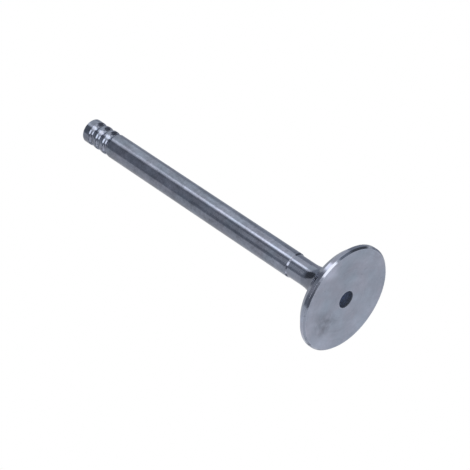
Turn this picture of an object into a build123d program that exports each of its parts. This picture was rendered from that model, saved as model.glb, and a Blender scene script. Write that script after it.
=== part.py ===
from build123d import *

import os
from math import cos, radians, sqrt, tan

# Poppet valve of a piston engine: one forged and turned steel piece.
# Frame: origin at the centre of the combustion face, +Z up the stem to the tip.
# Lengths are in millimetres and angles in degrees.

# Whole valve
overall_length = 140.0
head_diameter = 42.0
stem_diameter = 10.0

# Head rim, from the combustion face back
edge_break = 0.65  # 45 degree break between the combustion face and the margin
margin_height = 2.0  # combustion face to the outer edge of the seat
seat_angle = 45.0  # from the plane of the combustion face
seat_width = 2.7  # measured radially

# Back of the head, running into the neck
back_angle = 15.0  # from the plane of the combustion face
underhead_radius = 13.2
neck_diameter = 9.3
neck_end_height = 25.4  # where the neck widens to the ground stem
neck_bevel_length = 0.55

# Drilled recess in the middle of the combustion face
recess_diameter = 6.5
recess_depth = 5.5  # to the shoulder of the drill point
drill_point_angle = 118.0
recess_edge_break = 0.2

# Keeper grooves and tip
groove_count = 3
groove_pitch = 4.05
first_groove_from_tip = 4.85  # tip face to the centre of the first groove
groove_radius = 1.0
groove_depth = 0.9
crest_radius = 1.1  # rounding of the ridges between the grooves
tip_chamfer = 0.3

# Worked out from the driving sizes
head_radius = head_diameter / 2
stem_radius = stem_diameter / 2
neck_radius = neck_diameter / 2
seat_inner_radius = head_radius - seat_width
seat_top = margin_height + seat_width * tan(radians(seat_angle))
back_top = seat_top + (seat_inner_radius - neck_radius) * tan(radians(back_angle))

# A fillet takes at most this share of the room it has.
fillet_share = 0.95
# A point of the section is found within this distance of where it is expected.
match = 1e-4


def groove_heights():
    """Heights of the groove centres, from the tip down."""
    first = overall_length - first_groove_from_tip
    return [first - row * groove_pitch for row in range(groove_count)]


def blank_section():
    """Right half of the turned blank: x is the radius and y the height."""
    head = [
        (0, 0),
        (head_radius - edge_break, 0),
        (head_radius, edge_break),
        (head_radius, margin_height),
        (seat_inner_radius, seat_top),
        (neck_radius, back_top),
    ]
    stem = [
        (neck_radius, neck_end_height),
        (stem_radius, neck_end_height + neck_bevel_length),
        (stem_radius, overall_length - tip_chamfer),
        (stem_radius - tip_chamfer, overall_length),
        (0, overall_length),
    ]
    return make_face(Polyline(*head, *stem, close=True))


def vertices_at(section, points):
    """The section's vertices that lie at the given points."""
    return [
        vertex
        for vertex in section.vertices()
        for x, y in points
        if abs(vertex.X - x) < match and abs(vertex.Y - y) < match
    ]


def with_underhead_fillet(section):
    """The curve that carries the back of the head up into the neck."""
    turn = radians(90 - back_angle)
    back_run = (seat_inner_radius - neck_radius) / cos(radians(back_angle))
    neck_run = neck_end_height - back_top
    largest = fillet_share * min(back_run, neck_run) / tan(turn / 2)
    corner = vertices_at(section, [(neck_radius, back_top)])
    return fillet(corner, min(underhead_radius, largest))


def with_centre_recess(section):
    """A drilled pocket in the middle of the combustion face, with its edge broken."""
    radius = recess_diameter / 2
    point_height = radius / tan(radians(drill_point_angle / 2))
    pocket = make_face(
        Polyline(
            (0, 0),
            (radius, 0),
            (radius, recess_depth),
            (0, recess_depth + point_height),
            close=True,
        )
    )
    section = section - pocket
    return chamfer(vertices_at(section, [(radius, 0)]), recess_edge_break)


def with_keeper_grooves(section):
    """Round-bottomed grooves that the split keepers grip, with rounded crests between them."""
    half_width = sqrt(groove_depth * (2 * groove_radius - groove_depth))
    centre_radius = stem_radius - groove_depth + groove_radius
    for height in groove_heights():
        section = section - Pos(centre_radius, height) * Circle(groove_radius)
    mouths = [
        (stem_radius, height + side * half_width)
        for height in groove_heights()
        for side in (-1, 1)
    ]
    # At this radius the roundings of neighbouring grooves meet in the middle of the ridge.
    largest = (groove_pitch**2 / (4 * groove_depth) + groove_depth) / 2 - groove_radius
    return fillet(vertices_at(section, mouths), min(crest_radius, fillet_share * largest))


def valve():
    """The whole valve, revolved from its half section."""
    section = blank_section()
    section = with_underhead_fillet(section)
    section = with_centre_recess(section)
    section = with_keeper_grooves(section)
    return revolve(Plane.XZ * section, Axis.Z)


os.makedirs("parts", exist_ok=True)
export_step(valve(), "parts/valve.step")
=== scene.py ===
"""Looks of a steel engine valve that stands on its combustion face, in a plain pale studio."""

import math
from typing import NamedTuple

import bpy
from mathutils import Matrix, Vector

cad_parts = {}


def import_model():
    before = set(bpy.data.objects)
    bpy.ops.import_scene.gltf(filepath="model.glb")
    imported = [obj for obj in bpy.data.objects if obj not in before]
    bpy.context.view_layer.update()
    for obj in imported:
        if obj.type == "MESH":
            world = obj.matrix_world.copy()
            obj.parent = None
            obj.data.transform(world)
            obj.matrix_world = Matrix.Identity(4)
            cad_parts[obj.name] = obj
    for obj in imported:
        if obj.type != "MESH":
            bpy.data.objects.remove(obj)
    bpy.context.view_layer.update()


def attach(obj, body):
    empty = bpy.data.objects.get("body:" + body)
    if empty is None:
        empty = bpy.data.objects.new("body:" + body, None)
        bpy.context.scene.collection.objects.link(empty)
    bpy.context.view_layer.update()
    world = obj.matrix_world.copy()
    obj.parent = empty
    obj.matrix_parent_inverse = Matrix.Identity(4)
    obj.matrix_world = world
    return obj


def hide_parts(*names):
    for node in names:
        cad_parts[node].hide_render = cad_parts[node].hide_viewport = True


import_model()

MM = 0.001

# -------------------------------------------------- the valve's sizes, in millimetres and degrees

OVERALL_LENGTH = 140.0
HEAD_RADIUS = 21.0
STEM_RADIUS = 5.0
EDGE_BREAK = 0.65
MARGIN_HEIGHT = 2.0
SEAT_WIDTH = 2.7
SEAT_ANGLE = 45.0
BACK_ANGLE = 15.0
UNDERHEAD_RADIUS = 13.2
NECK_RADIUS = 4.65
NECK_END_HEIGHT = 25.4
NECK_BEVEL_LENGTH = 0.55
RECESS_RADIUS = 3.25
RECESS_DEPTH = 5.5
DRILL_POINT_ANGLE = 118.0
RECESS_EDGE_BREAK = 0.2
GROOVE_COUNT = 3
GROOVE_PITCH = 4.05
FIRST_GROOVE_FROM_TIP = 4.85
GROOVE_RADIUS = 1.0
GROOVE_DEPTH = 0.9
CREST_RADIUS = 1.1
TIP_CHAMFER = 0.3

SEAT_INNER_RADIUS = HEAD_RADIUS - SEAT_WIDTH
SEAT_TOP = MARGIN_HEIGHT + SEAT_WIDTH * math.tan(math.radians(SEAT_ANGLE))
BACK_TOP = SEAT_TOP + (SEAT_INNER_RADIUS - NECK_RADIUS) * math.tan(math.radians(BACK_ANGLE))
DRILL_POINT_HEIGHT = RECESS_RADIUS / math.tan(math.radians(DRILL_POINT_ANGLE / 2))
FIRST_GROOVE = OVERALL_LENGTH - FIRST_GROOVE_FROM_TIP
GROOVE_HEIGHTS = [FIRST_GROOVE - row * GROOVE_PITCH for row in range(GROOVE_COUNT)]

# Corners of the half section, each (radius, height), from the recess round to the tip
DRILL_POINT = (0, RECESS_DEPTH + DRILL_POINT_HEIGHT)
DRILL_SHOULDER = (RECESS_RADIUS, RECESS_DEPTH)
RECESS_WALL_FOOT = (RECESS_RADIUS, RECESS_EDGE_BREAK)
RECESS_MOUTH = (RECESS_RADIUS + RECESS_EDGE_BREAK, 0)
FACE_EDGE = (HEAD_RADIUS - EDGE_BREAK, 0)
MARGIN_FOOT = (HEAD_RADIUS, EDGE_BREAK)
MARGIN_TOP = (HEAD_RADIUS, MARGIN_HEIGHT)
SEAT_EDGE = (SEAT_INNER_RADIUS, SEAT_TOP)
NECK_START = (NECK_RADIUS, BACK_TOP)
NECK_END = (NECK_RADIUS, NECK_END_HEIGHT)
STEM_START = (STEM_RADIUS, NECK_END_HEIGHT + NECK_BEVEL_LENGTH)
STEM_END = (STEM_RADIUS, OVERALL_LENGTH - TIP_CHAMFER)
TIP_EDGE = (STEM_RADIUS - TIP_CHAMFER, OVERALL_LENGTH)
TIP_CENTRE = (0, OVERALL_LENGTH)

SHARP = 0.06  # rounding that grinding and handling leave on a sharp edge
SHOULDER_ROUNDING = 0.25  # rounding that the drill leaves at its shoulder
SEGMENTS = 256  # round the axis
ARC_STEP = 7.0  # degrees of turn for one step of an arc in the profile
RUN_STEP = 6.0  # longest step along a straight run
ON_AXIS = 1e-6  # a profile point nearer to the axis than this lies on it


def between(start, end, share):
    """The value at a share of the way from start to end."""
    return start + (end - start) * share


def add_object(name, data):
    """A new object of the scene, which holds the data."""
    made = bpy.data.objects.new(name, data)
    bpy.context.scene.collection.objects.link(made)
    return made


# -------------------------------------------------- lathe profile

def corner(before, at, after, rounding):
    """Profile points of a rounded corner, each (radius, height, normal).

    The metal lies to the left of the path.
    """
    before, at, after = Vector(before), Vector(at), Vector(after)
    arriving, leaving = (at - before).normalized(), (after - at).normalized()
    turn = arriving.angle_signed(leaving)
    start_normal = Vector((arriving.y, -arriving.x))
    end_normal = Vector((leaving.y, -leaving.x))
    setback = rounding * math.tan(abs(turn) / 2)
    first = at - arriving * setback
    steps = max(2, math.ceil(abs(math.degrees(turn)) / ARC_STEP))
    side = 1 if start_normal.dot(leaving) < 0 else -1
    centre = first - start_normal * rounding * side
    points = []
    for step in range(steps + 1):
        normal = start_normal.slerp(end_normal, step / steps)
        points.append((*(centre + normal * rounding * side), normal))
    return points


def direction(angle):
    """Unit vector of the half section at an angle in radians above the radius."""
    return Vector((math.cos(angle), math.sin(angle)))


def groove_points(height):
    """Profile points of one keeper groove, from its lower mouth to its upper one."""
    middle = STEM_RADIUS - GROOVE_DEPTH + GROOVE_RADIUS
    crest = STEM_RADIUS - CREST_RADIUS
    reach = math.sqrt((GROOVE_RADIUS + CREST_RADIUS) ** 2 - (middle - crest) ** 2)
    lean = math.atan2(reach, middle - crest)
    steps = math.ceil(math.degrees(lean) / ARC_STEP)
    mouth, shaded_hollow = [], []
    for step in range(steps):
        normal = direction(lean * step / steps)
        mouth.append((crest + CREST_RADIUS * normal.x, CREST_RADIUS * normal.y - reach, normal))
    for step in range(steps, -steps - 1, -1):
        normal = direction(lean * step / steps)
        shaded_hollow.append((middle - GROOVE_RADIUS * normal.x, -GROOVE_RADIUS * normal.y, normal))
    upper_mouth = [
        (radius, -offset, Vector((normal.x, -normal.y)))
        for radius, offset, normal in reversed(mouth)
    ]
    return [
        (radius, height + offset, normal)
        for radius, offset, normal in mouth + shaded_hollow + upper_mouth
    ]


def run_to(start, end, finish):
    """Points that divide a long straight run, its ends left out."""
    start_radius, start_height = start[:2]
    end_radius, end_height, normal = end
    gap = math.hypot(end_radius - start_radius, end_height - start_height)
    count = int(gap / RUN_STEP)
    points = []
    for step in range(1, count + 1):
        share = step / (count + 1)
        radius = between(start_radius, end_radius, share)
        height = between(start_height, end_height, share)
        points.append((radius, height, normal, finish))
    return points


def grooves_from(start):
    """The run up from start to the lowest keeper groove, then the grooves and their ridges."""
    outline = [start]
    for height in reversed(GROOVE_HEIGHTS):
        cut = groove_points(height)
        below = "stem" if height == min(GROOVE_HEIGHTS) else "groove"
        outline += run_to(outline[-1], cut[0], below)
        outline += [(*point, "groove") for point in cut]
    return outline[1:]


def profile():
    """The half section's outline from the recess to the tip: (radius, height, normal, finish)."""
    corners = [  # place, rounding, and finish of the run that arrives
        (DRILL_SHOULDER, SHOULDER_ROUNDING, "recess"),
        (RECESS_WALL_FOOT, SHARP, "recess"),
        (RECESS_MOUTH, SHARP, "recess"),
        (FACE_EDGE, SHARP, "face"),
        (MARGIN_FOOT, SHARP, "edge"),
        (MARGIN_TOP, SHARP, "rim"),
        (SEAT_EDGE, SHARP, "rim"),
        (NECK_START, UNDERHEAD_RADIUS, "neck"),
        (NECK_END, SHARP, "neck"),
        (STEM_START, SHARP, "edge"),
        (STEM_END, SHARP, "stem"),
        (TIP_EDGE, SHARP, "edge"),
    ]
    places = [DRILL_POINT, *(place for place, _, _ in corners), TIP_CENTRE]
    outline = [(*DRILL_POINT, Vector((0, -1)), "recess")]
    for before, (at, rounding, finish), after in zip(places, corners, places[2:]):
        arc = corner(before, at, after, rounding)
        if finish == "stem":
            outline += grooves_from(outline[-1])
        outline += run_to(outline[-1], arc[0], finish)
        outline += [(*point, finish) for point in arc]
    outline.append((*TIP_CENTRE, Vector((0, 1)), "tip"))
    return outline


def band(low, high):
    """Faces between two neighbouring rings of vertices, where a ring on the axis is one vertex."""
    faces = []
    for step in range(SEGMENTS):
        after = (step + 1) % SEGMENTS
        if len(low) == 1:
            faces.append((low[0], high[after], high[step]))
        elif len(high) == 1:
            faces.append((low[step], low[after], high[0]))
        else:
            faces.append((low[step], low[after], high[after], high[step]))
    return faces


def lathe(name, outline, materials):
    """An object turned about Z, with the outline's own normals and a material for each finish."""
    vertices, normals, rings = [], [], []
    for radius, height, normal, _ in outline:
        count = SEGMENTS if radius > ON_AXIS else 1
        rings.append(range(len(vertices), len(vertices) + count))
        for step in range(count):
            angle = 2 * math.pi * step / SEGMENTS
            cosine, sine = math.cos(angle), math.sin(angle)
            vertices.append((radius * cosine * MM, radius * sine * MM, height * MM))
            normals.append((normal.x * cosine, normal.x * sine, normal.y))
    faces, slots = [], []
    order = list(materials)
    for low, high, (_, _, _, finish) in zip(rings, rings[1:], outline[1:]):
        added = band(low, high)
        faces += added
        slots += [order.index(finish)] * len(added)
    mesh = bpy.data.meshes.new(name)
    mesh.from_pydata(vertices, [], faces)
    for material in materials.values():
        mesh.materials.append(material)
    for polygon, slot in zip(mesh.polygons, slots):
        polygon.material_index = slot
        polygon.use_smooth = True
    mesh.normals_split_custom_set_from_vertices(normals)
    mesh.update()
    return add_object(name, mesh)


# -------------------------------------------------- shader nodes

def node(tree, kind, inputs=None, **settings):
    """Adds a shader node. inputs gives each socket a value or another node's output."""
    made = tree.nodes.new("ShaderNode" + kind)
    for name, value in settings.items():
        setattr(made, name, value)
    for socket, value in (inputs or {}).items():
        if isinstance(value, bpy.types.NodeSocket):
            tree.links.new(value, made.inputs[socket])
        else:
            made.inputs[socket].default_value = value
    return made


def maths(tree, operation, *values, clamp=False):
    """One step of arithmetic on sockets or numbers."""
    inputs = dict(enumerate(values))
    return node(tree, "Math", inputs, operation=operation, use_clamp=clamp).outputs[0]


def times(tree, first, second):
    return maths(tree, "MULTIPLY", first, second)


def times_plus(tree, socket, factor, added, clamp=False):
    return maths(tree, "MULTIPLY_ADD", socket, factor, added, clamp=clamp)


def weighted(tree, level, *layers):
    """The level plus every layer's pattern times its share."""
    result = level
    for pattern, share in layers:
        result = maths(tree, "ADD", result, times(tree, pattern, share))
    return result


def fade(tree, socket, start, end):
    """0 before start and 1 past end, smooth between them. Start may be the larger."""
    inputs = {"Value": socket, "From Min": start, "From Max": end}
    return node(tree, "MapRange", inputs, interpolation_type="SMOOTHSTEP").outputs[0]


def scaled_vector(tree, vector, factor):
    return node(tree, "VectorMath", {0: vector, "Scale": factor}, operation="SCALE").outputs[0]


def bumped(tree, relief):
    """Normals bent by a relief in millimetres."""
    return node(tree, "Bump", {"Height": relief, "Distance": MM, "Strength": 1.0}).outputs[0]


def new_material(name):
    """A material with an empty tree, and that tree."""
    material = bpy.data.materials.new(name)
    material.use_nodes = True
    material.node_tree.nodes.clear()
    return material, material.node_tree


def surface(tree, shader):
    node(tree, "OutputMaterial", {"Surface": shader.outputs[0]})


# -------------------------------------------------- places and patterns on the valve

NOISE_MIDDLE = 0.5
NOISE_CONTRAST = 3.5  # takes noise, which keeps near its middle, to about -1 to 1
SPECK_LEVELS = (0.72, 1.0)  # a speck comes in between these levels of a patch
SPOT_CORE = 0.5  # radius within which a soft spot is full, in millimetres
WEAR_REACH = 0.45  # how far the wear of a corner reaches, in millimetres
WEAR_PATCH_SIZE = 1.6  # in millimetres


class Place:
    """Where a shading point lies on the valve, in millimetres."""

    def __init__(self, tree):
        self.tree = tree
        position = node(tree, "TexCoord").outputs["Object"]
        self.point = scaled_vector(tree, position, 1 / MM)
        self.x, self.y, self.height = node(tree, "SeparateXYZ", {0: self.point}).outputs
        self.radius = self.distance_to(0, 0)
        # Falls on the way out across the face, and grows from the rim up to the tip.
        self.along = maths(tree, "SUBTRACT", self.height, self.radius)

    def distance_to(self, x, y):
        """Distance from an upright line at x, y."""
        across = maths(self.tree, "SUBTRACT", self.x, x)
        back = maths(self.tree, "SUBTRACT", self.y, y)
        offset = node(self.tree, "CombineXYZ", {"X": across, "Y": back}).outputs[0]
        return node(self.tree, "VectorMath", {0: offset}, operation="LENGTH").outputs["Value"]

    def spot(self, x, y, reach, core=SPOT_CORE):
        """1 round the upright line at x, y, and 0 past its reach."""
        return fade(self.tree, self.distance_to(x, y), reach, core)

    def spread(self, noise):
        """Noise taken to about -1 to 1."""
        return times(self.tree, maths(self.tree, "SUBTRACT", noise, NOISE_MIDDLE), NOISE_CONTRAST)

    def noise(self, point, detail, seed, scale=1.0):
        """Soft clouds round the point, from -1 to 1."""
        inputs = {"Vector": point, "W": seed, "Scale": scale, "Detail": detail}
        return self.spread(node(self.tree, "TexNoise", inputs, noise_dimensions="4D").outputs["Fac"])

    def stretched(self, size, angle=0.0):
        """The point where clouds come out with this size, turned by the angle about Z."""
        inputs = {"Vector": self.point, "Rotation": (0, 0, math.radians(angle)), "Scale": size}
        return node(self.tree, "Mapping", inputs, vector_type="TEXTURE").outputs[0]

    def patches(self, size, detail=3.0, seed=0.0):
        """Soft cloudy patches about as wide as size, from -1 to 1."""
        return self.noise(self.point, detail, seed, scale=1 / size)

    def specks(self, spacing, seed):
        """1 in a few small specks and 0 elsewhere."""
        return fade(self.tree, self.patches(spacing, detail=1.0, seed=seed), *SPECK_LEVELS)

    def marks(self, width, length):
        """Cutting or grinding marks that run round the axis, from -1 to 1."""
        side = times(self.tree, self.x, 1 / length)
        front = times(self.tree, self.y, 1 / length)
        across = times(self.tree, self.along, 1 / width)
        squeezed = node(self.tree, "CombineXYZ", {"X": side, "Y": front, "Z": across}).outputs[0]
        return self.noise(squeezed, detail=2.0, seed=0.0)

    def smears(self, width, length, seed):
        """Patches drawn out along the stem, from -1 to 1."""
        return self.noise(self.stretched((width, width, length)), detail=3.0, seed=seed)

    def streaks(self, length, width, angle, seed):
        """Straight wiping streaks across the axis at an angle to X, from -1 to 1."""
        return self.noise(self.stretched((length, width, width), angle), detail=3.0, seed=seed)

    def rings(self, width):
        """Uneven turned rings about as wide as width, from -1 to 1."""
        inputs = {"W": self.radius, "Scale": 1 / width, "Detail": 2.0}
        return self.spread(node(self.tree, "TexNoise", inputs, noise_dimensions="1D").outputs["Fac"])

    def wear(self, corners):
        """1 on the turned corners, each (radius, height), and 0 a little way off, but patchy."""
        worn = 0.0
        for radius, height in corners:
            gap = maths(self.tree, "ABSOLUTE", maths(self.tree, "SUBTRACT", self.along, height - radius))
            worn = maths(self.tree, "MAXIMUM", worn, fade(self.tree, gap, WEAR_REACH, 0.0))
        patchy = times_plus(self.tree, self.patches(WEAR_PATCH_SIZE, seed=15.0), 0.7, 0.6, clamp=True)
        return times(self.tree, worn, patchy)


# -------------------------------------------------- tones of the single finishes

# The hollow under the head gets painted shade: its steel is made a little darker there.
HOLLOW_HEIGHTS = (20.5, 13.0)  # between them the hollow under the head comes in, in millimetres
NEAR_RIM = (13.0, 19.5)  # radii between which the face's outer zone comes in


class Mark(NamedTuple):
    """A soft round mark, with lengths in millimetres, and the change of tone in its middle."""

    x: float
    y: float
    reach: float
    tone: float


# Soft marks on the face: the first is a painted highlight, the glow of light beside the rim's highlight,
# and the rest are handling marks.
HANDLING_MARKS_AND_SHEEN = [
    Mark(x=4.8, y=-18.2, reach=4.8, tone=0.3),
    Mark(x=9.0, y=-8.0, reach=9.0, tone=-0.09),
    Mark(x=-3.0, y=15.0, reach=9.0, tone=0.1),
    Mark(x=-18.0, y=3.0, reach=7.0, tone=0.14),
    Mark(x=14.0, y=14.0, reach=9.0, tone=-0.1),
    Mark(x=-11.0, y=-6.0, reach=5.0, tone=-0.1),
]
SMUDGE = Mark(x=-11.8, y=-2.6, reach=8.0, tone=-0.46)
# A painted sheen: one side of the rim is made brighter, and the core is where it is full.
RIM_SHEEN = Mark(x=-18.5, y=-8.0, reach=14.0, tone=0.28)
RIM_SHEEN_CORE = 8.0


def face_tone(place):
    """Clouded, wiped and paler by the rim, partly a painted sheen there, with faint turned rings, marks
    with a painted highlight among them, and a broken smudge.
    """
    tree = place.tree
    clouded = place.patches(8.0, detail=4.0, seed=29.0)
    wiped = place.streaks(length=16.0, width=3.0, angle=62.0, seed=30.0)
    # Paler by the rim: partly polish, partly a painted sheen of the light that the rim catches.
    near_rim = fade(tree, place.radius, *NEAR_RIM)
    paler = times_plus(tree, place.patches(7.0, seed=8.0), 0.1, 0.05)
    ringed = times(tree, place.rings(1.1), place.patches(9.0, seed=5.0))
    broken = times_plus(tree, place.patches(2.0, detail=4.0, seed=41.0), 0.8, 0.45, clamp=True)
    smudge = times(tree, place.spot(SMUDGE.x, SMUDGE.y, SMUDGE.reach), broken)
    specks = place.specks(2.4, seed=11.0)
    marks = [(place.spot(mark.x, mark.y, mark.reach), mark.tone) for mark in HANDLING_MARKS_AND_SHEEN]
    return weighted(
        tree,
        1.01,
        (clouded, 0.09),
        (wiped, 0.08),
        (near_rim, paler),
        (ringed, 0.06),
        (smudge, SMUDGE.tone),
        (specks, -0.18),
        *marks,
    )


def rim_tone(place):
    """Brighter on one side: a painted sheen of the light that the rim reflects there."""
    sheen = place.spot(RIM_SHEEN.x, RIM_SHEEN.y, RIM_SHEEN.reach, RIM_SHEEN_CORE)
    return weighted(place.tree, 1.0, (sheen, RIM_SHEEN.tone))


def neck_tone(place):
    """Painted shade: a little darker in the hollow under the head, and more blotched there."""
    tree = place.tree
    shaded_hollow = fade(tree, place.height, *HOLLOW_HEIGHTS)
    blotches = place.patches(2.5, seed=7.0)
    return weighted(tree, 1.0, (shaded_hollow, -0.06), (blotches, times_plus(tree, shaded_hollow, 0.12, 0.06)))


def stem_tone(place):
    """Smeared along the stem where it has run in the guide, with a few dark specks."""
    smeared = place.smears(width=2.6, length=8.0, seed=31.0)
    mottled = place.patches(1.1, detail=2.0, seed=13.0)
    specks = place.specks(1.1, seed=14.0)
    return weighted(place.tree, 1.0, (smeared, 0.28), (mottled, 0.18), (specks, -0.25))


# -------------------------------------------------- the valve's materials

COOL_STEEL = (0.238, 0.281, 0.354)
WARM_STEEL = (0.272, 0.278, 0.344)  # what the steel drifts to in its warmer patches

FINE_SIZE, FINE_TONE = 0.3, 0.6  # the fine clouds' size and tone, as shares of the broad ones'
DRIFT_SIZE = 1.7  # size of the drift of hue and roughness, as a share of the broad clouds'
GRAIN_SIZE = 0.16  # in millimetres
GRAIN_DEPTH = 0.0002  # in millimetres
GRAIN_TONE = 0.02
WORN_TONE = 0.16  # change of tone where a corner is worn
WORN_ROUGHNESS = -0.2  # change of roughness there
CUT_ROUGHNESS = -0.5  # what the cutting marks do to the roughness, as a share of the drift's

SCALE_TINT = (0.8, 1.0, 1.5)
SCALE_ROUGHNESS = 0.6
# The scale is paler deeper in the hole: painted light against the shade that falls there.
SCALE_HEIGHTS = (0.2, 4.5)  # between them the scale gets paler, in millimetres
FEED_DEPTH = 0.006  # of the drill's feed marks, in millimetres


class Cuts(NamedTuple):
    """Cutting or grinding marks, in millimetres, and the share by which they change the tone."""

    width: float
    length: float
    depth: float
    tone: float


class Clouds(NamedTuple):
    """Cloudy patches: their size in millimetres and their shares of tone and of roughness."""

    size: float
    tone: float
    roughness: float


def steel_hue(tree, drift):
    """The colour of bare steel, which drifts between cool and warm."""
    warmth = times_plus(tree, drift, 0.5, 0.5, clamp=True)
    ends = {"Factor": warmth, 6: (*COOL_STEEL, 1), 7: (*WARM_STEEL, 1)}
    return node(tree, "Mix", ends, data_type="RGBA").outputs[2]


def steel(name, roughness, cuts, clouds, corners, extra_tone=None):
    """Turned or ground steel.

    corners are the turned corners, each (radius, height), that handling has rubbed bright, and
    extra_tone works out one more factor for the tone from the place.
    """
    material, tree = new_material(name)
    place = Place(tree)
    broad = place.patches(clouds.size)
    fine = place.patches(clouds.size * FINE_SIZE, seed=6.0)
    drift = place.patches(clouds.size * DRIFT_SIZE, seed=4.0)
    lines = place.marks(cuts.width, cuts.length)
    grain = place.patches(GRAIN_SIZE, detail=1.0, seed=9.0)
    worn = place.wear(corners)
    tone = weighted(
        tree,
        1.0,
        (broad, clouds.tone),
        (fine, clouds.tone * FINE_TONE),
        (lines, cuts.tone),
        (grain, GRAIN_TONE),
        (worn, WORN_TONE),
    )
    if extra_tone:
        tone = times(tree, tone, extra_tone(place))
    dulling = weighted(
        tree,
        1.0,
        (drift, clouds.roughness),
        (lines, CUT_ROUGHNESS * clouds.roughness),
        (worn, WORN_ROUGHNESS),
    )
    finish = {
        "Base Color": scaled_vector(tree, steel_hue(tree, drift), tone),
        "Metallic": 1.0,
        "Roughness": times(tree, dulling, roughness),
        "Normal": bumped(tree, weighted(tree, 0.0, (lines, cuts.depth), (grain, GRAIN_DEPTH))),
    }
    surface(tree, node(tree, "BsdfPrincipled", finish))
    return material


def scale(name):
    """The dull dark scale of a drilled hole, paler with depth: painted light that evens out the shade
    deep in the hole.
    """
    material, tree = new_material(name)
    place = Place(tree)
    painted_depth_light = fade(tree, place.height, *SCALE_HEIGHTS)
    tone = weighted(tree, 0.08, (painted_depth_light, 0.26), (place.patches(1.2), 0.03))
    feed = place.marks(width=0.35, length=4.0)
    finish = {
        "Base Color": scaled_vector(tree, SCALE_TINT, tone),
        "Roughness": SCALE_ROUGHNESS,
        "Normal": bumped(tree, times(tree, feed, FEED_DEPTH)),
    }
    surface(tree, node(tree, "BsdfPrincipled", finish))
    return material


CRESTS = [(STEM_RADIUS, height + GROOVE_PITCH / 2) for height in GROOVE_HEIGHTS[1:]]

materials = {
    "recess": scale("drilled_recess_scale"),
    "face": steel(
        "turned_face_steel",
        roughness=0.38,
        cuts=Cuts(width=0.33, length=12.0, depth=0.0016, tone=0.03),
        clouds=Clouds(size=4.0, tone=0.08, roughness=0.12),
        corners=[FACE_EDGE, RECESS_MOUTH],
        extra_tone=face_tone,
    ),
    "edge": steel(
        "broken_edge_steel",
        roughness=0.1,
        cuts=Cuts(width=0.15, length=4.0, depth=0.0003, tone=0.02),
        clouds=Clouds(size=5.0, tone=0.05, roughness=0.12),
        corners=[STEM_END, TIP_EDGE],
    ),
    "rim": steel(
        "ground_seat_steel",
        roughness=0.13,
        cuts=Cuts(width=0.2, length=6.0, depth=0.0004, tone=0.03),
        clouds=Clouds(size=4.0, tone=0.09, roughness=0.15),
        corners=[MARGIN_FOOT, MARGIN_TOP, SEAT_EDGE],
        extra_tone=rim_tone,
    ),
    "neck": steel(
        "turned_neck_steel",
        roughness=0.16,
        cuts=Cuts(width=0.3, length=5.0, depth=0.0006, tone=0.04),
        clouds=Clouds(size=4.0, tone=0.1, roughness=0.15),
        corners=[SEAT_EDGE, NECK_END],
        extra_tone=neck_tone,
    ),
    "stem": steel(
        "ground_stem_steel",
        roughness=0.14,
        cuts=Cuts(width=0.22, length=1.6, depth=0.0003, tone=0.04),
        clouds=Clouds(size=4.0, tone=0.11, roughness=0.18),
        corners=[STEM_START, STEM_END, TIP_EDGE],
        extra_tone=stem_tone,
    ),
    "groove": steel(
        "turned_groove_steel",
        roughness=0.13,
        cuts=Cuts(width=0.2, length=3.0, depth=0.0004, tone=0.04),
        clouds=Clouds(size=2.5, tone=0.1, roughness=0.15),
        corners=CRESTS,
        extra_tone=stem_tone,
    ),
    "tip": steel(
        "ground_tip_steel",
        roughness=0.22,
        cuts=Cuts(width=0.25, length=6.0, depth=0.0008, tone=0.03),
        clouds=Clouds(size=3.0, tone=0.08, roughness=0.15),
        corners=[STEM_END, TIP_EDGE],
    ),
}
valve = lathe("engine_valve", profile(), materials)
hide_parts("valve")
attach(valve, "root")


# -------------------------------------------------- cards that the steel reflects

# Lengths from here on are in metres and angles in degrees, if nothing else is said.
AIM = Vector((0, 0, 0.05))  # the point that the cards curve round and the lamp shines at
FAR = 1.5  # distance of the nearest card
CARD_GAP = 0.01  # each card is further off than the one before by this share of FAR
CARD_STEP = 8.0  # largest step between the grid lines of a card
SOFT = 5.0  # width over which a card fades out at its borders
SHADE = (0.95, 1.0, 1.09)  # tint of the dark cards
WARM_LIGHT = (1.03, 1.0, 0.93)  # tint of the strongest light
COOL_LIGHT = (0.97, 1.015, 1.01)  # tint of the broad light on the right
HIDDEN_FROM = ("camera", "diffuse", "shadow", "transmission", "volume_scatter")

cards = []  # those made so far, the nearest first


def towards(azimuth, elevation):
    """Unit vector from the valve. Azimuth 0 is -Y, where the camera is, and 90 is +X."""
    a, e = math.radians(azimuth), math.radians(elevation)
    return Vector((math.sin(a) * math.cos(e), -math.cos(a) * math.cos(e), math.sin(e)))


def lines_across(first, last, count):
    """Places of a card's grid lines: one on each border, and even ones where the card is full."""
    width = last - first - 2 * SOFT
    return [first, *(first + SOFT + width * line / (count - 1) for line in range(count)), last]


def steps_over(angle):
    """How many grid lines a card needs where it is full."""
    return max(2, math.ceil(angle / CARD_STEP))


def card_mesh(name, distance, elevations, low, high):
    """A sheet that curves round the valve, with a cover that is 0 on its borders and 1 inside."""
    bottom, top = elevations
    rows = steps_over(top - bottom)
    columns = steps_over(max(low[1] - low[0], high[1] - high[0]))
    points, covers, faces = [], [], []
    for row, elevation in enumerate(lines_across(bottom, top, rows)):
        up = (elevation - bottom) / (top - bottom)
        first, last = between(low[0], high[0], up), between(low[1], high[1], up)
        for column, azimuth in enumerate(lines_across(first, last, columns)):
            points.append(AIM + towards(azimuth, elevation) * distance)
            on_border = row in (0, rows + 1) or column in (0, columns + 1)
            covers.append(0.0 if on_border else 1.0)
            if row and column:
                here = row * (columns + 2) + column
                below = here - columns - 2
                faces.append((here, here - 1, below - 1, below))
    mesh = bpy.data.meshes.new(name)
    mesh.from_pydata(points, [], faces)
    mesh.attributes.new("cover", "FLOAT", "POINT").data.foreach_set("value", covers)
    return mesh


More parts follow.
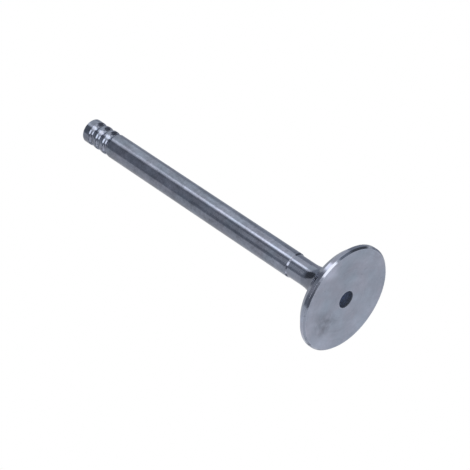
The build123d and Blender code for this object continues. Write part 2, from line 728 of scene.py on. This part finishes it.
def card_material(name, level, tint):
    """A plain glow that thins out to nothing with the card's cover."""
    material, tree = new_material(name)
    glow = node(tree, "Emission", {"Color": (*tint, 1), "Strength": level})
    clear = node(tree, "BsdfTransparent")
    cover = node(tree, "Attribute", attribute_name="cover").outputs["Fac"]
    surface(tree, node(tree, "MixShader", {0: cover, 1: clear.outputs[0], 2: glow.outputs[0]}))
    return material


def card(name, level, elevations, low, high=None, tint=(1, 1, 1)):
    """A glowing or dark studio card, curved round the valve, which shows only in reflections.

    low and high are its first and last azimuth at the lower and the upper one of its elevations.
    Where two cards overlap, the one that was made first is in front.
    """
    distance = FAR * (1 + CARD_GAP * len(cards))
    mesh = card_mesh(name, distance, elevations, low, high or low)
    mesh.materials.append(card_material(name, level, tint))
    made = add_object(name, mesh)
    for ray in HIDDEN_FROM:
        setattr(made, "visible_" + ray, False)
    cards.append(made)


# Name, level, elevations, and the azimuths at the lower and, where they differ, the upper one
card("strip_foot", 3.3, (-63, -29), (10, 64), (27, 60), tint=WARM_LIGHT)
card("strip_light", 2.65, (-31, 39), (8, 44.5), (26, 45))
card("front_light", 2.4, (-38, 27), (-39, 0.5))
card("front_glow", 0.7, (29, 37), (-32, 3))
card("top_flag", 0.09, (41.5, 88), (-53, 18), (-26.5, 101), tint=SHADE)
card("strip_head", 1.35, (34, 52), (27, 45))
card("high_flag", 0.45, (52, 88), (40, 128), tint=SHADE)
card("front_flag", 0.3, (20, 56), (-58, 22), tint=SHADE)
card("low_flag", 0.25, (-62, 4), (-70, 3), tint=SHADE)
card("rear_strip", 1.4, (-22, 4), (-112, -97))
card("rear_flag", 0.3, (-20, 6), (-128, -110), tint=SHADE)
card("left_low_flag", 0.67, (-42, 9), (-87, -26))
card("side_flag", 0.16, (-40, 28), (75, 128), (71, 133), tint=SHADE)
card("low_side_flag", 0.44, (-59, -33), (66, 122), tint=SHADE)
card("right_card", 0.84, (32.5, 88), (46, 110), tint=COOL_LIGHT)
card("left_card", 0.33, (-12, 22), (-143, -37), tint=SHADE)
card("left_top_card", 0.62, (28.5, 88), (-168, -28))
card("back_card", 0.49, (-13, 88), (88, 205), tint=SHADE)


# -------------------------------------------------- lamp, world and floor

LAMP_SIZE = 0.5
LAMP_POWER = 9.0
LAMP_DISTANCE = 1.5
LAMP_AZIMUTH, LAMP_ELEVATION = -35, 62
WORLD_LEVEL = 0.62  # strength of the world for all but the camera and reflections
FLOOR_HALF = 1.6
FLOOR_DROP = 0.0003  # keeps the floor clear of the combustion face
FLOOR_COLOUR = (0.93, 0.93, 0.93)
FLOOR_FADE = (450.0, 90.0)  # radii between which the floor comes in, in millimetres


def top_lamp():
    """A broad soft lamp overhead that casts the floor's shadow. Reflections show the cards instead."""
    lamp = bpy.data.lights.new("top_lamp", "AREA")
    lamp.shape = "DISK"
    lamp.size = LAMP_SIZE
    lamp.energy = LAMP_POWER
    holder = add_object("top_lamp", lamp)
    aside = towards(LAMP_AZIMUTH, LAMP_ELEVATION)
    holder.location = AIM + aside * LAMP_DISTANCE
    holder.rotation_euler = aside.to_track_quat("Z", "Y").to_euler()
    holder.visible_glossy = False


def world():
    """White to the camera and in reflections, and a plain level for the rest."""
    made = bpy.data.worlds.new("studio")
    bpy.context.scene.world = made
    made.use_nodes = True
    tree = made.node_tree
    path = node(tree, "LightPath").outputs
    shown = maths(tree, "MAXIMUM", path["Is Camera Ray"], path["Is Glossy Ray"])
    shown = maths(tree, "MAXIMUM", shown, path["Is Transmission Ray"])
    strength = node(tree, "MapRange", {"Value": shown, "To Min": WORLD_LEVEL, "To Max": 1.0})
    background = tree.nodes["Background"]
    background.inputs["Color"].default_value = (1, 1, 1, 1)
    tree.links.new(strength.outputs[0], background.inputs["Strength"])


def floor():
    """A plain pale floor that fades into the white round it. Only the camera sees it, from above."""
    sides = ((-1, -1), (1, -1), (1, 1), (-1, 1))
    mesh = bpy.data.meshes.new("floor")
    mesh.from_pydata([(x * FLOOR_HALF, y * FLOOR_HALF, 0) for x, y in sides], [], [(0, 1, 2, 3)])
    material, tree = new_material("pale_floor")
    seen = node(tree, "LightPath").outputs["Is Camera Ray"]
    below = node(tree, "NewGeometry").outputs["Backfacing"]
    above = maths(tree, "SUBTRACT", seen, below, clamp=True)
    near = fade(tree, Place(tree).radius, *FLOOR_FADE)
    clear = node(tree, "BsdfTransparent").outputs[0]
    pale = node(tree, "BsdfDiffuse", {"Color": (*FLOOR_COLOUR, 1)}).outputs[0]
    surface(tree, node(tree, "MixShader", {0: times(tree, above, near), 1: clear, 2: pale}))
    mesh.materials.append(material)
    plane = add_object("floor", mesh)
    plane.location.z = -FLOOR_DROP


top_lamp()
world()
floor()


# -------------------------------------------------- camera

CAMERA_OFF_NORMAL = 55.47  # angle between the view and the combustion face's normal
CAMERA_ROLL = 33.83
CAMERA_BACK, CAMERA_RIGHT, CAMERA_UP = 0.6865, -0.03937, 0.02289  # its place along its own axes
CAMERA_LENS = 148.37
CAMERA_SENSOR = 36
CAMERA_CLIP = (0.05, 20)


def camera():
    """Looks up at the combustion face from in front and below, with the stem running away from it."""
    off_normal, roll = math.radians(CAMERA_OFF_NORMAL), math.radians(CAMERA_ROLL)
    back = Vector((0, -math.sin(off_normal), -math.cos(off_normal)))
    along = Vector((0, math.cos(off_normal), -math.sin(off_normal)))
    across = Vector((1, 0, 0))
    right = math.cos(roll) * along + math.sin(roll) * across
    up = -math.sin(roll) * along + math.cos(roll) * across
    place = back * CAMERA_BACK + right * CAMERA_RIGHT + up * CAMERA_UP
    data = bpy.data.cameras.new("camera")
    data.lens = CAMERA_LENS
    data.sensor_width = CAMERA_SENSOR
    data.clip_start, data.clip_end = CAMERA_CLIP
    holder = add_object("camera", data)
    holder.matrix_world = Matrix.Translation(place) @ Matrix((right, up, back)).transposed().to_4x4()
    bpy.context.scene.camera = holder


camera()
bpy.context.scene.view_settings.view_transform = "Standard"
